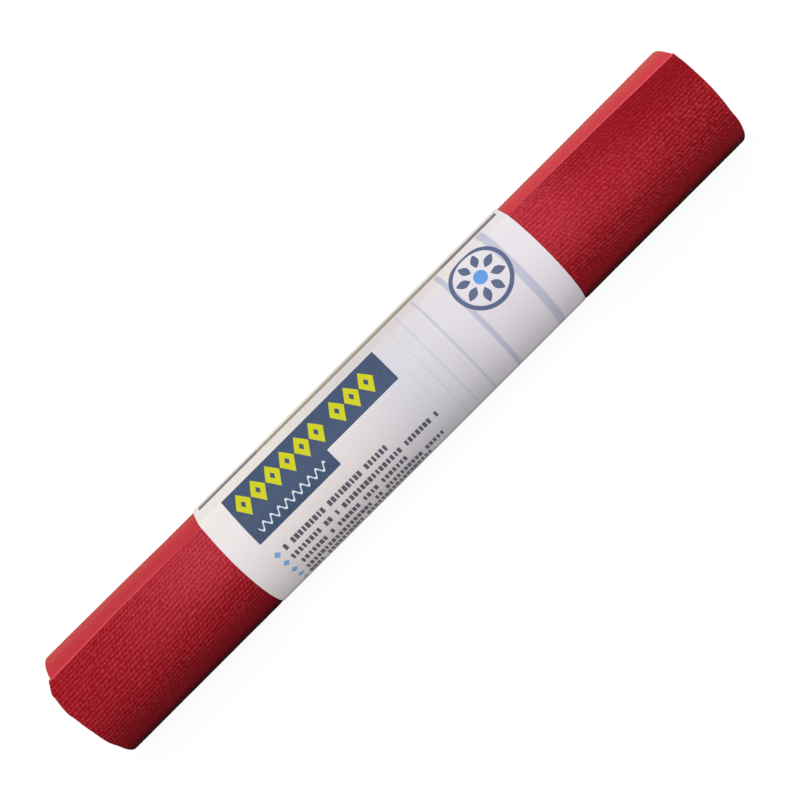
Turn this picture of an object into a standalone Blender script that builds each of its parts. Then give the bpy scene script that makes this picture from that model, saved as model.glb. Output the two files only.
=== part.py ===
"""A thin foam exercise mat, rolled up and held by a paper sleeve.

Metres, +Z up. The roll lies along X on the flat under its sleeve. Angles in the section are measured round
the roll's axis from its front, -Y, up over its top. The mat is one laminated sheet, foam on both sides of a
woven net, wound into one spiral. The sleeve is one strip of paper with a glued overlap at the back.
"""

import math

import bmesh
import bpy
from mathutils import Vector

MM = 0.001
HALF_TURN = math.pi
FULL_TURN = 2 * math.pi

# The sheet, laid flat
MAT_LENGTH = 1.73
MAT_WIDTH = 0.61
FOAM_THICKNESS = 0.00125
NET_THICKNESS = 0.0002
BOND_GAP = 0.00015

# The winding
CORE_RADIUS = 0.011
WRAP_GAP = 0.00045
FREE_EDGE_ANGLE = math.radians(77.7)
LOWEST_ANGLE = math.radians(-90)
SHORTEST_STEP_SHARE = 0.25

# The flat that the roll rests on: every wrap is pressed by the same depth
FLAT_DEPTH = 0.0005
FLAT_STATION_SHARE = 0.8

# The paper sleeve, a strip that goes once round the roll and climbs over its own first edge
SLEEVE_WIDTH = 0.302
SLEEVE_SHIFT = -0.004
PAPER_THICKNESS = 0.0003
SLEEVE_CLEARANCE = 0.0003
SEAM_ANGLE = math.radians(215)
SEAM_OVERLAP = 0.015
SEAM_CLIMB = 0.012

# The glue in the overlap
GLUE_THICKNESS = 0.00015
GLUE_CLEARANCE = 0.00015
GLUE_WIDTH = 0.01
GLUE_END_MARGIN = 0.003

# Worked out from the values above
MAT_THICKNESS = 2 * FOAM_THICKNESS + NET_THICKNESS + 2 * BOND_GAP
PITCH = MAT_THICKNESS + WRAP_GAP
SEAM_GAP = GLUE_THICKNESS + 2 * GLUE_CLEARANCE

# Linear colours and roughness
FOAM_RED = (0.38, 0.022, 0.033)
NET_RED = (0.46, 0.09, 0.10)
PAPER_WHITE = (0.72, 0.69, 0.72)
GLUE_CREAM = (0.78, 0.74, 0.62)
FOAM_ROUGHNESS = 0.85
NET_ROUGHNESS = 0.9
PAPER_ROUGHNESS = 0.5
GLUE_ROUGHNESS = 0.4
SHARP_EDGE = math.radians(30)


def clear_scene():
    for thing in list(bpy.data.objects):
        bpy.data.objects.remove(thing, do_unlink=True)


def make_material(name, colour, roughness):
    material = bpy.data.materials.new(name)
    material.use_nodes = True
    shader = material.node_tree.nodes["Principled BSDF"]
    shader.inputs["Base Color"].default_value = (*colour, 1)
    shader.inputs["Roughness"].default_value = roughness
    shader.inputs["Metallic"].default_value = 0
    return material


def total_turn():
    """The angle that the sheet is wound through: its length times the pitch is the area between the circles
    that its middle line starts and ends on."""
    start = CORE_RADIUS + MAT_THICKNESS / 2
    end = math.sqrt(start**2 + PITCH * MAT_LENGTH / math.pi)
    return (end - start) * FULL_TURN / PITCH


def radius_at(angle, height):
    """How far from the axis the surface lies that is this high above the sheet's inner face. The angle counts
    through all the turns and is largest at the free edge."""
    turned = angle - (FREE_EDGE_ANGLE - total_turn())
    return CORE_RADIUS + height + PITCH * turned / FULL_TURN


def winding_angles():
    """The angles of the stations, from the sheet's inner end to its free edge. Every turn has the same ones,
    one of them at its lowest point, so that the wraps keep their gap and the flat is cut clean."""
    first = FREE_EDGE_ANGLE - total_turn()
    outer_radius = radius_at(FREE_EDGE_ANGLE, MAT_THICKNESS)
    flat_half_angle = math.acos(1 - FLAT_STATION_SHARE * FLAT_DEPTH / outer_radius)
    step = FULL_TURN / math.ceil(FULL_TURN / flat_half_angle)
    spare = SHORTEST_STEP_SHARE * step
    count = math.ceil((first + spare - LOWEST_ANGLE) / step)
    angles = [first]
    while LOWEST_ANGLE + count * step < FREE_EDGE_ANGLE - spare:
        angles.append(LOWEST_ANGLE + count * step)
        count += 1
    return angles + [FREE_EDGE_ANGLE]


def wound_point(angle, height):
    """A point of the section, (y, z) from the roll's axis, pressed flat where its turn is lowest."""
    radius = radius_at(angle, height)
    turns = round((angle - LOWEST_ANGLE) / FULL_TURN)
    lowest_radius = radius_at(LOWEST_ANGLE + turns * FULL_TURN, height)
    return Vector((-radius * math.cos(angle), max(radius * math.sin(angle), FLAT_DEPTH - lowest_radius)))


def wound_line(height):
    return [wound_point(angle, height) for angle in winding_angles()]


def line_length(line):
    return sum((end - start).length for start, end in zip(line, line[1:]))


def distance_to_line(point, line):
    """The distance from a point to the nearest of a line's straight pieces."""
    least = math.inf
    for start, end in zip(line, line[1:]):
        along = end - start
        share = (point - start).dot(along) / along.length_squared
        nearest = start + along * min(max(share, 0), 1)
        least = min(least, (point - nearest).length)
    return least


def least_gap_to_itself(inner_line, outer_line):
    """The least gap between a wrap's outer face and the inner face of the wrap round it, measured from every
    point of both faces."""
    angles = winding_angles()
    least = math.inf
    for index, angle in enumerate(angles):
        for points, others, way in ((outer_line, inner_line, 1), (inner_line, outer_line, -1)):
            beside = [
                others[k]
                for k, other in enumerate(angles)
                if HALF_TURN < way * (other - angle) < FULL_TURN + HALF_TURN
            ]
            least = min(least, distance_to_line(points[index], beside))
    return least


def turns_left(start, middle, end):
    first = middle - start
    second = end - start
    return first.x * second.y - first.y * second.x > 0


def convex_outline(points):
    """The corners of the convex outline round some points, counter-clockwise."""
    ordered = sorted(points, key=lambda point: (point.x, point.y))
    corners = []
    for row in (ordered, ordered[::-1]):
        chain = []
        for point in row:
            while len(chain) > 1 and not turns_left(chain[-2], chain[-1], point):
                chain.pop()
            chain.append(point)
        corners += chain[:-1]
    return corners


def corners_from_seam():
    """What paper pulled tight round the roll touches, bridging the step at the mat's free edge: the corners
    of that outline once round, from the one nearest the seam, in the direction in which angles grow."""
    last_turn = FREE_EDGE_ANGLE - FULL_TURN
    outer_face = [wound_point(a, MAT_THICKNESS) for a in winding_angles() if a >= last_turn]
    corners = convex_outline(outer_face)[::-1]

    def off_seam(corner):
        return abs(math.remainder(math.atan2(corner.y, -corner.x) - SEAM_ANGLE, FULL_TURN))

    start = corners.index(min(corners, key=off_seam))
    return corners[start:] + corners[:start]


def outward(edge):
    """The unit normal, away from the roll, of an edge walked in the direction in which angles grow."""
    return Vector((-edge.y, edge.x)).normalized()


def outline_stops():
    """The outline's corners from the seam, twice round, as (distance walked, corner, direction). A step of
    some length along direction takes both edges at the corner that length off the outline."""
    corners = corners_from_seam()
    stops = []
    distance = 0
    for index in range(2 * len(corners)):
        before, here, after = (corners[(index + k) % len(corners)] for k in (-1, 0, 1))
        last_normal = outward(here - before)
        normal = outward(after - here)
        stops.append((distance, here, (last_normal + normal) / (1 + last_normal.dot(normal))))
        distance += (after - here).length
    return stops


def stop_at(stops, distance):
    """The stop at a distance that lies between two corners, or on the first of them."""
    after = next(k for k, stop in enumerate(stops) if stop[0] > distance)
    (start, corner, direction), (end, next_corner, next_direction) = stops[after - 1 : after + 1]
    share = (distance - start) / (end - start)
    return distance, corner.lerp(next_corner, share), direction.lerp(next_direction, share)


def walk_round(from_distance, to_distance):
    stops = outline_stops()
    between = [stop for stop in stops if from_distance < stop[0] < to_distance]
    return [stop_at(stops, from_distance), *between, stop_at(stops, to_distance)]


def lifted_line(stops, lift):
    return [corner + direction * lift(distance) for distance, corner, direction in stops]


def add_strip(name, lower_line, upper_line, x_from, x_to, colour, roughness):
    """A sheet whose section lies between two lines of as many points, drawn along X."""
    bm = bmesh.new()
    lower = [bm.verts.new((x_from, point.x, point.y)) for point in lower_line]
    upper = [bm.verts.new((x_from, point.x, point.y)) for point in upper_line]
    section = []
    for k in range(len(lower) - 1):
        section.append(bm.faces.new((lower[k], lower[k + 1], upper[k + 1], upper[k])))
    drawn = bmesh.ops.extrude_face_region(bm, geom=section, use_keep_orig=True)
    far_end = [item for item in drawn["geom"] if isinstance(item, bmesh.types.BMVert)]
    bmesh.ops.translate(bm, verts=far_end, vec=(x_to - x_from, 0, 0))
    bmesh.ops.recalc_face_normals(bm, faces=bm.faces)
    mesh = bpy.data.meshes.new(name)
    bm.to_mesh(mesh)
    bm.free()
    mesh.shade_smooth()
    mesh.set_sharp_from_angle(angle=SHARP_EDGE)
    mesh.materials.append(make_material(name, colour, roughness))
    strip = bpy.data.objects.new(name, mesh)
    bpy.context.collection.objects.link(strip)
    return strip


def add_mat_layer(name, from_height, to_height, colour, roughness):
    inner_line = wound_line(from_height)
    outer_line = wound_line(to_height)
    print(f"{name}: least gap to itself {least_gap_to_itself(inner_line, outer_line) / MM:.3f} mm")
    return add_strip(name, inner_line, outer_line, -MAT_WIDTH / 2, MAT_WIDTH / 2, colour, roughness)


def build_mat():
    """The sheet's three layers, from the face inside the roll to the face outside it."""
    net_from = FOAM_THICKNESS + BOND_GAP
    net_to = net_from + NET_THICKNESS
    layers = [
        add_mat_layer("inner_foam_layer", 0, FOAM_THICKNESS, FOAM_RED, FOAM_ROUGHNESS),
        add_mat_layer("reinforcing_scrim", net_from, net_to, NET_RED, NET_ROUGHNESS),
        add_mat_layer("outer_foam_layer", net_to + BOND_GAP, MAT_THICKNESS, FOAM_RED, FOAM_ROUGHNESS),
    ]
    print(f"sheet: {line_length(wound_line(MAT_THICKNESS / 2)):.4f} m along its middle line")
    whole_gap = least_gap_to_itself(wound_line(0), wound_line(MAT_THICKNESS))
    print(f"sheet: least gap to itself {whole_gap / MM:.3f} mm")
    return layers


def build_paper():
    """The paper strip, and the line of its outer face."""
    once_round = line_length(corners_from_seam() + corners_from_seam()[:1])

    def inner_lift(distance):
        climbed = (distance - once_round + SEAM_CLIMB) / SEAM_CLIMB
        return SLEEVE_CLEARANCE + min(max(climbed, 0), 1) * (PAPER_THICKNESS + SEAM_GAP)

    stops = walk_round(0, once_round + SEAM_OVERLAP)
    inner_face = lifted_line(stops, inner_lift)
    outer_face = lifted_line(stops, lambda distance: inner_lift(distance) + PAPER_THICKNESS)
    x_from = SLEEVE_SHIFT - SLEEVE_WIDTH / 2
    x_to = SLEEVE_SHIFT + SLEEVE_WIDTH / 2
    paper = add_strip("paper_sleeve", inner_face, outer_face, x_from, x_to, PAPER_WHITE, PAPER_ROUGHNESS)
    print(f"paper: {line_length(inner_face):.4f} m round with its overlap")
    return paper, outer_face


def build_glue():
    """The line of glue, in the middle of the overlap."""
    start = (SEAM_OVERLAP - GLUE_WIDTH) / 2
    stops = walk_round(start, start + GLUE_WIDTH)
    seat = SLEEVE_CLEARANCE + PAPER_THICKNESS + GLUE_CLEARANCE
    inner_face = lifted_line(stops, lambda distance: seat)
    outer_face = lifted_line(stops, lambda distance: seat + GLUE_THICKNESS)
    half_length = SLEEVE_WIDTH / 2 - GLUE_END_MARGIN
    x_from = SLEEVE_SHIFT - half_length
    x_to = SLEEVE_SHIFT + half_length
    return add_strip("sleeve_glue_strip", inner_face, outer_face, x_from, x_to, GLUE_CREAM, GLUE_ROUGHNESS)


def place_on_axis(layers, sleeve, outer_face):
    """Puts the roll's axis where the paper's section stands on z = 0 and is centred on y = 0. The sleeve hangs
    on an empty on that axis, along which it slides."""
    middle_y = (min(point.x for point in outer_face) + max(point.x for point in outer_face)) / 2
    lowest_z = min(point.y for point in outer_face)
    axis = Vector((0, -middle_y, -lowest_z))
    for layer in layers:
        layer.location = axis
    carrier = bpy.data.objects.new("sleeve_slide", None)
    carrier.location = axis
    bpy.context.collection.objects.link(carrier)
    for piece in sleeve:
        piece.parent = carrier
    print(f"roll axis: y {axis.y:.5f}, z {axis.z:.5f}")


clear_scene()
mat_layers = build_mat()
paper_sleeve, paper_outer_face = build_paper()
glue_strip = build_glue()
place_on_axis(mat_layers, (paper_sleeve, glue_strip), paper_outer_face)
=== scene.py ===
import math

import bmesh
import bpy
import numpy as np
from mathutils import Matrix, Vector


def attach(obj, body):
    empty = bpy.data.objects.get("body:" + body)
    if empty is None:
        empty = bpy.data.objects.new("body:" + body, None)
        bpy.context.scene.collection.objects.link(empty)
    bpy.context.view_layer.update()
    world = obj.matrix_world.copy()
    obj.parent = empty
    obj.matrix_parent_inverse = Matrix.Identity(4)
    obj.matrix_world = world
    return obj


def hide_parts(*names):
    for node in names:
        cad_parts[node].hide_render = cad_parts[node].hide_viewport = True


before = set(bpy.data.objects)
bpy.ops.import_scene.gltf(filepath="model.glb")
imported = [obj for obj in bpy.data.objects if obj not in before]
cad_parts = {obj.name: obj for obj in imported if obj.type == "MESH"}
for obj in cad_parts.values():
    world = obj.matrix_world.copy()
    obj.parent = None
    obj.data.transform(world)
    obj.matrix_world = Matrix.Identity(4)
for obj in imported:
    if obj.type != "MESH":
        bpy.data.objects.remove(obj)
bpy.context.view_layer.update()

MM = 0.001
IN_MM = 1000.0
FULL_TURN = 2 * math.pi
PICTURE = 800
TOUCHING = 1e-7

# The mat laid flat, as the part's source has it
MAT_LENGTH = 1.73
MAT_WIDTH = 0.61
MAT_THICKNESS = 0.003
NET_FROM = 1.4 * MM
NET_TO = 1.6 * MM

# The foam lies closer to the net, and the wraps closer to each other, than in the part's source
FOAM_OVER_NET = 0.02 * MM
CROWDED = 0.06 * MM

# The winding, as the part's source has it
CORE_RADIUS = 0.011
PITCH = 0.00345
FREE_EDGE_ANGLE = math.radians(77.7)
LOWEST_ANGLE = math.radians(-90)
FLAT_DEPTH = 0.0005
ROLL_AXIS = Vector((0, 0.00084, 0.04534))
START_RADIUS = CORE_RADIUS + MAT_THICKNESS / 2
GROWTH = PITCH / FULL_TURN
END_RADIUS = math.sqrt(START_RADIUS**2 + 2 * GROWTH * MAT_LENGTH)
TOTAL_TURN = (END_RADIUS - START_RADIUS) / GROWTH

# The sleeve, as the part's source has it. Its paper is once round the roll and the overlap long.
SLEEVE_WIDTH = 0.302
SLEEVE_MIDDLE = -0.004
PAPER_THICKNESS = 0.0003
SLEEVE_CLEARANCE = 0.0003
SEAM_ANGLE = math.radians(215)
SEAM_OVERLAP = 0.015
SEAM_CLIMB = 0.012
SEAM_STEP = 0.00075

# The embossed grain: a rib along every row, with nubs on it, and every other row half a nub further on
NUBS_ACROSS = 184
NUB_PITCH = MAT_WIDTH / NUBS_ACROSS
NUB_ROW = 2.92 * MM
NUB_HEIGHT = 0.085 * MM
NUB_SHARE = 0.52
NUB_SLANT = 0.58
SLANTED_FROM = 0.12

# What makes the grain uneven: how much, and the size and seed of its random patches
ROW_WANDER = 0.12
ROW_PATCHES = (11 * MM, 3)
COLUMN_WANDER = 0.28
COLUMN_PATCHES = (5.5 * MM, 4)
RIB_CHANGE = 0.5
RIB_PATCHES = (4 * MM, 5)
NUB_CHANGE = 0.8
NUB_PATCHES = (3.2 * MM, 6)

# How much closer the rows lie, and how far they have run up, both by the millimetres along the roll
ROWS_CLOSER = (
    (-290, 0.022), (-270, 0.011), (-215, -0.011), (-160, -0.022),
    (163, -0.033), (215, -0.027), (247, -0.011), (286, 0.022),
)
CLOSER_WITHIN = 0.1
ROWS_UP = (
    (-235, 0), (-220, -0.2), (-200, -1.1), (-180, -2.5), (-155, -3.9),
    (147, 0), (164, 0.8), (184, 1.4), (205, 1.6), (225, 1.65), (246, 1.2),
    (266, 0.5), (287, -0.2), (305, -0.7),
)

# How finely the sheets are cut up
NUBS_PER_CELL = 4
POINTS_PER_NUB = 4
ROWS_PER_NUB = 3
CELLS_ACROSS = NUBS_ACROSS // NUBS_PER_CELL
COIL_STEP = math.radians(7.5)
UNDER_FLAP = math.radians(12)
LIP_ROWS = 6
RIM_SEGMENTS = 2
PAPER_COLUMNS = 48

# The cut edges: round rims at the sides and a rounder lip at the free edge, where the grain fades out
SIDE_RIM = 0.35 * MM
LIP = 2.2 * MM
LIP_DROP = 1.2 * MM
GRAIN_FROM_SIDE = 4 * SIDE_RIM
GRAIN_FROM_EDGE = 3 * LIP

# The free edge springs up where the sleeve is far enough away
FLAP_SPAN = 15 * MM
FLAP_LIFT = 0.8 * MM
FLAP_FREE = (30 * MM, 140 * MM)

# The wraps, all but the outer ones, aren't quite round and have slipped a little to and fro. Each wave has
# its size, its pace in the winding, where it starts and how it leans along the roll.
UNEVEN = 0.14 * MM
UNEVEN_WAVES = ((1, 0.83, 0, 4), (0.35, 1.37, 2, -5))
EVEN_OUTSIDE = 6
SLIP_WAVES = ((0.55 * MM, 0.9, 0, 0), (0.25 * MM, 2.3, 1, 0))

# How far the roll has swollen where it is bare, in millimetres along the roll and outward, at its upper back
# and at its lower front
SWOLLEN_ABOVE = (
    (-300, 1.1), (-275, 0.98), (-250, 0.8), (-220, 0.62), (-205, 0.4), (-190, 0.12), (-160, 0.03),
    (150, -0.05), (208, -0.05), (240, 0.12), (268, 0.2), (300, 0.45),
)
SWOLLEN_BELOW = (
    (-300, 0.16), (-200, 0.22), (-160, 0.26), (-156.5, -0.08),
    (148, -0.06), (151, 0.5), (163, 0.44), (190, 0.38), (300, 0.36),
)
SWOLLEN_MOST = math.radians(125)
PRESSED_SWELL = 0.45

# How far the free edge runs ahead of its even place, in radians by the millimetres along the roll
EDGE_AHEAD = (
    (-300, -0.025), (-275, -0.010), (-248, 0.013), (-234, 0.025), (-220, 0.027), (-207, 0.036),
    (-193, 0.043), (-180, 0.034), (-155, 0.023), (147, 0.104), (181, 0.118), (208, 0.106),
    (235, 0.091), (249, 0.077), (276, 0.0545), (300, 0.040),
)

# How many millimetres the cut sides of the outer wraps stand out, by the degrees back from the free edge
LEFT_SLIP = (
    (0, -1.0), (5, 0.4), (8, 1.4), (12, 2.7), (14, 3.0), (17, 2.6), (31, 2.9), (36, 2.7), (40, 1.9),
    (45, 1.4), (53, 0.9), (61, 0.3), (79, 0.1), (90, -0.9), (95, -0.9), (125, 0.0), (360, -0.6), (420, -0.3),
)
RIGHT_SLIP = (
    (0, 1.7), (25, 0.6), (75, 0.3), (88, 1.4), (110, 1.9), (200, 1.0), (330, 1.3), (345, 1.7), (358, 2.9),
    (420, 0.5),
)
SLIP_FROM = 0.2
OUTER_WRAPS = (360, 540)

# The paper bends only so tightly, stands proud of the free edge, and is a little askew at its left end
ROLL_POINTS = 720
PAPER_BEND = 1.6 * MM
BEND_POINTS = 9
PAPER_PROUD = 0.7 * MM
PROUD_AT = (math.radians(118), math.radians(55))
PAPER_ASKEW = 1.0 * MM
ASKEW_AT = (math.radians(55), math.radians(100))
PAPER_SHARP = math.radians(35)

# Where the camera stands, from the edges of the sleeve in the picture
VIEW_HEIGHT = math.radians(35)
VIEW_ROLL = math.radians(-45)
VIEW_CLIP = (0.05, 50)
CAMERA_DISTANCE = 1.058
CAMERA_ALONG = 0.0192
FOCAL_PIXELS = 1482
CENTRE_OFF = (12.4, 18.95)
SENSOR = 36

# The light, of which a surface that faces it sends on about as much as its colour says
LIGHT_FROM = (-0.06, -0.47, 0.88)
LIGHT_STRENGTH = 0.46 * math.pi
LIGHT_SPREAD = math.radians(34)
ROOM_LIGHT = 0.54

# The floor: how much it glows and what shadow it keeps where it is seen, and how much light it sends back
FLOOR_HALF = 6
FLOOR_GLOW = 0.948
FLOOR_SHADOW = 0.06
FLOOR_BOUNCE = 0.52


def smooth_step(value, low, high):
    share = np.clip((value - low) / (high - low), 0, 1)
    return share * share * (3 - 2 * share)


# The winding


def turned_at(run):
    """How far round the sheet is wound where this much of its length is in the roll."""
    return (np.sqrt(START_RADIUS**2 + 2 * GROWTH * np.asarray(run)) - START_RADIUS) / GROWTH


def run_at(turned):
    return START_RADIUS * turned + GROWTH * turned**2 / 2


UNDER_EDGE = run_at(TOTAL_TURN - FULL_TURN)


def beyond_sleeve(across):
    """How far a place along the roll is beyond the sleeve's nearer edge, and negative under it."""
    return np.abs(across - SLEEVE_MIDDLE) - SLEEVE_WIDTH / 2


def by_place(table, across):
    """Reads a table of (millimetres along the roll, value)."""
    places, values = np.transpose(table)
    return np.interp(across / MM, places, values)


def waves(kinds, turned, across):
    return sum(size * np.sin(rate * turned + start + lean * across) for size, rate, start, lean in kinds)


def patchy(across, run, size, seed):
    """Smooth random patches of about this size, between -1 and 1."""
    counts = (int(MAT_WIDTH / size) + 3, int(MAT_LENGTH / size) + 3)
    draws = np.random.default_rng(seed).uniform(-1, 1, counts)
    column, row = (across + MAT_WIDTH / 2) / size, run / size
    left, low = np.floor(column).astype(int), np.floor(row).astype(int)
    aside, up = (smooth_step(share, 0, 1) for share in (column - left, row - low))
    lower = draws[left, low] * (1 - aside) + draws[left + 1, low] * aside
    upper = draws[left, low + 1] * (1 - aside) + draws[left + 1, low + 1] * aside
    return lower * (1 - up) + upper * up


def grain_map(across, run):
    """Counts nubs across and rows along, at any place on the flat mat. Neither runs quite evenly."""
    facing = run_at(TOTAL_TURN - FREE_EDGE_ANGLE + VIEW_HEIGHT)
    closer = by_place(ROWS_CLOSER, across) * np.clip(run - facing, -CLOSER_WITHIN, CLOSER_WITHIN)
    rows = (run + closer + by_place(ROWS_UP, across) * MM) / NUB_ROW
    rows = rows + ROW_WANDER * patchy(across, run, *ROW_PATCHES)
    return across / NUB_PITCH + COLUMN_WANDER * patchy(across, run, *COLUMN_PATCHES), rows


def grain(across, run):
    """How far the embossed face stands above its mean."""
    nubs, rows = grain_map(across, run)
    row, column = math.pi * rows, FULL_TURN * nubs
    slant = NUB_SLANT * np.clip(across / SLANTED_FROM, -1, 1)
    nub = ((1 - slant) * np.cos(row - column) + (1 + slant) * np.cos(row + column)) / 2
    rib = (1 + RIB_CHANGE * patchy(across, run, *RIB_PATCHES)) * np.cos(2 * row)
    form = rib + NUB_SHARE * (1 + NUB_CHANGE * patchy(across, run, *NUB_PATCHES)) * nub
    from_side = smooth_step(MAT_WIDTH / 2 - np.abs(across), SIDE_RIM, GRAIN_FROM_SIDE)
    from_edge = smooth_step(MAT_LENGTH - run, LIP, GRAIN_FROM_EDGE)
    return NUB_HEIGHT * form * (from_side * from_edge)


def drift(across, turned):
    """How far the wraps have slipped along the roll."""
    back = np.degrees(TOTAL_TURN - turned)
    at_left, at_right = (np.interp(back, *np.transpose(slip)) * MM for slip in (LEFT_SLIP, RIGHT_SLIP))
    ends = np.where(across < 0, -at_left, at_right) * smooth_step(np.abs(across), SLIP_FROM, MAT_WIDTH / 2)
    deeper = smooth_step(back, *OUTER_WRAPS)
    return waves(SLIP_WAVES, turned, across) * deeper + ends * (1 - deeper)


def wound(across, run, height):
    """Where a point of the flat mat lies in the roll. Height counts from the face that ends up inside."""
    turned = turned_at(run)
    share = turned / TOTAL_TURN
    angle = turned + FREE_EDGE_ANGLE - TOTAL_TURN + by_place(EDGE_AHEAD, across) * share**2
    to_edge = np.clip(1 - (MAT_LENGTH - run) / FLAP_SPAN, 0, 1)
    sprung = FLAP_LIFT * smooth_step(beyond_sleeve(across), *FLAP_FREE) * to_edge**2
    loose = UNEVEN * waves(UNEVEN_WAVES, turned, across) * (1 - share**EVEN_OUTSIDE)
    above, below = (by_place(table, across) * MM for table in (SWOLLEN_ABOVE, SWOLLEN_BELOW))

    def radius(wrap, where):
        swollen = (above + below + (above - below) * np.cos(where - SWOLLEN_MOST)) / 2
        return START_RADIUS + GROWTH * wrap + height - MAT_THICKNESS / 2 + swollen * wrap / TOTAL_TURN

    distance = radius(turned, angle) + sprung + loose
    turns = np.round((angle - LOWEST_ANGLE) / FULL_TURN)
    wrap_below = LOWEST_ANGLE + turns * FULL_TURN - FREE_EDGE_ANGLE + TOTAL_TURN
    floor_level = FLAT_DEPTH - radius(wrap_below, LOWEST_ANGLE) - loose
    floor_level = floor_level + (1 - PRESSED_SWELL) * below * wrap_below / TOTAL_TURN
    return (
        across + drift(across, turned),
        ROLL_AXIS.y - distance * np.cos(angle),
        ROLL_AXIS.z + np.maximum(distance * np.sin(angle), floor_level),
    )


# Sheets are made flat, as a closed slab, and then rolled up


def rows_along_mat():
    """Where the flat mat has a row of points: every few degrees inside the roll, a third of a nub's row
    apart on the wrap that shows, and closest on the round lip of the free edge."""
    bare_from = run_at(TOTAL_TURN - FULL_TURN - UNDER_FLAP)
    coils = [run_at(turned) for turned in np.arange(0, TOTAL_TURN, COIL_STEP)]
    coils = [run for run in coils if run < bare_from - NUB_ROW]
    shown = list(np.arange(bare_from, MAT_LENGTH - LIP, NUB_ROW / ROWS_PER_NUB))
    lip = [MAT_LENGTH - LIP * (1 - math.sin(k * math.pi / 2 / LIP_ROWS)) for k in range(LIP_ROWS + 1)]
    return coils + shown + lip, bare_from


def flat_slab(places_across, places_along, low, high):
    """A closed slab, its length along Y and its width along X, with rows of points at the places given."""
    slab = bmesh.new()
    columns = len(places_across) - 1
    rows = len(places_along) - 1
    half = 0.5
    bmesh.ops.create_grid(slab, x_segments=columns, y_segments=rows, size=half)
    for point in slab.verts:
        column = round((point.co.x + half) * columns)
        row = round((point.co.y + half) * rows)
        point.co = (places_across[column], places_along[row], low)
    drawn_up = bmesh.ops.extrude_face_region(slab, geom=slab.faces[:], use_keep_orig=True)
    lifted = [item for item in drawn_up["geom"] if isinstance(item, bmesh.types.BMVert)]
    bmesh.ops.translate(slab, verts=lifted, vec=(0, 0, high - low))
    bmesh.ops.recalc_face_normals(slab, faces=slab.faces[:])
    return slab


def lies_at(level, point):
    return abs(point.co.z - level) < TOUCHING


def on_side_rim(level, point):
    return lies_at(level, point) and abs(abs(point.co.x) - MAT_WIDTH / 2) < TOUCHING


def round_side_rims(slab, level):
    """Rounds the two long rims of the mat's face at this level."""
    rims = [edge for edge in slab.edges if all(on_side_rim(level, point) for point in edge.verts)]
    bmesh.ops.bevel(
        slab, geom=rims, offset=SIDE_RIM, segments=RIM_SEGMENTS, profile=0.5, affect="EDGES", material=-1
    )


def close_up_columns(slab, level, from_run):
    """Cuts the face at this level into fine columns from this place on, for the grain."""
    cell = MAT_WIDTH / CELLS_ACROSS
    across = [
        edge
        for edge in slab.edges
        if edge.calc_length() > cell / 2
        and all(lies_at(level, point) and point.co.y > from_run for point in edge.verts)
        and abs(edge.verts[0].co.y - edge.verts[1].co.y) < TOUCHING
    ]
    bmesh.ops.subdivide_edges(slab, edges=across, cuts=NUBS_PER_CELL * POINTS_PER_NUB - 1)


def flat_places(mesh):
    flat = np.zeros(len(mesh.vertices) * 3)
    mesh.vertices.foreach_get("co", flat)
    return flat.reshape(-1, 3)


def facing_up(mesh):
    """How far each face of the flat slab looks up: 1 on its top, 0 on its sides and -1 underneath."""
    normals = np.zeros(len(mesh.polygons) * 3)
    mesh.polygons.foreach_get("normal", normals)
    return normals[2::3]


def keep_on_corners(mesh, name, pairs):
    """Keeps two numbers of each point, such as where it lay on the flat sheet in metres, as a UV map."""
    corners = np.zeros(len(mesh.loops), dtype=int)
    mesh.loops.foreach_get("vertex_index", corners)
    layer = mesh.uv_layers.new(name=name)
    layer.data.foreach_set("uv", pairs[corners].ravel())


def coat(mesh, first, second, on_second):
    """Gives a mesh one material, and the second one on the marked faces."""
    mesh.materials.append(first)
    mesh.materials.append(second)
    mesh.polygons.foreach_set("material_index", on_second.astype(np.int32))


def finished_piece(name, slab):
    mesh = bpy.data.meshes.new(name)
    slab.to_mesh(mesh)
    slab.free()
    piece = bpy.data.objects.new(name, mesh)
    bpy.context.scene.collection.objects.link(piece)
    return piece


def set_points(mesh, places):
    mesh.vertices.foreach_set("co", np.column_stack(places).ravel())
    mesh.shade_smooth()
    mesh.update()


def mat_slab(low, high):
    along, bare_from = rows_along_mat()
    across = np.linspace(-MAT_WIDTH / 2, MAT_WIDTH / 2, CELLS_ACROSS + 1)
    return flat_slab(across, along, low, high), bare_from


def keep_flat_places(mesh):
    flat = flat_places(mesh)
    keep_on_corners(mesh, "laid_flat", flat[:, :2])
    keep_on_corners(mesh, "grain_rows", np.column_stack(grain_map(flat[:, 0], flat[:, 1])))
    return flat.T


def roll_up_foam(name, low, high, skin, cut, grained=False):
    """A layer of foam, from its flat slab to its place in the roll, with the grain where it shows."""
    slab, bare_from = mat_slab(low, high)
    round_side_rims(slab, high if grained else low)
    if grained:
        close_up_columns(slab, high, bare_from + NUB_ROW / 2)
    layer = finished_piece(name, slab)
    coat(layer.data, skin, cut, np.abs(facing_up(layer.data)) < CUT_LEANS)
    x, run, height = keep_flat_places(layer.data)
    if grained:
        embossed = (height > high - TOUCHING) & (run > bare_from)
        height = np.where(embossed, height + grain(x, run), height)
        to_edge = np.clip(MAT_LENGTH - run, 0, LIP) / LIP
        rounding = LIP_DROP * (1 - np.sqrt(np.maximum(1 - (1 - to_edge) ** 2, 0)))
        height = height - rounding * smooth_step(height, low, high)
    set_points(layer.data, wound(x, run, height))
    return layer


def roll_up_net(name, yarn):
    slab, _ = mat_slab(NET_FROM, NET_TO)
    net = finished_piece(name, slab)
    net.data.materials.append(yarn)
    set_points(net.data, wound(*keep_flat_places(net.data)))
    return net


# The sleeve


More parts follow.
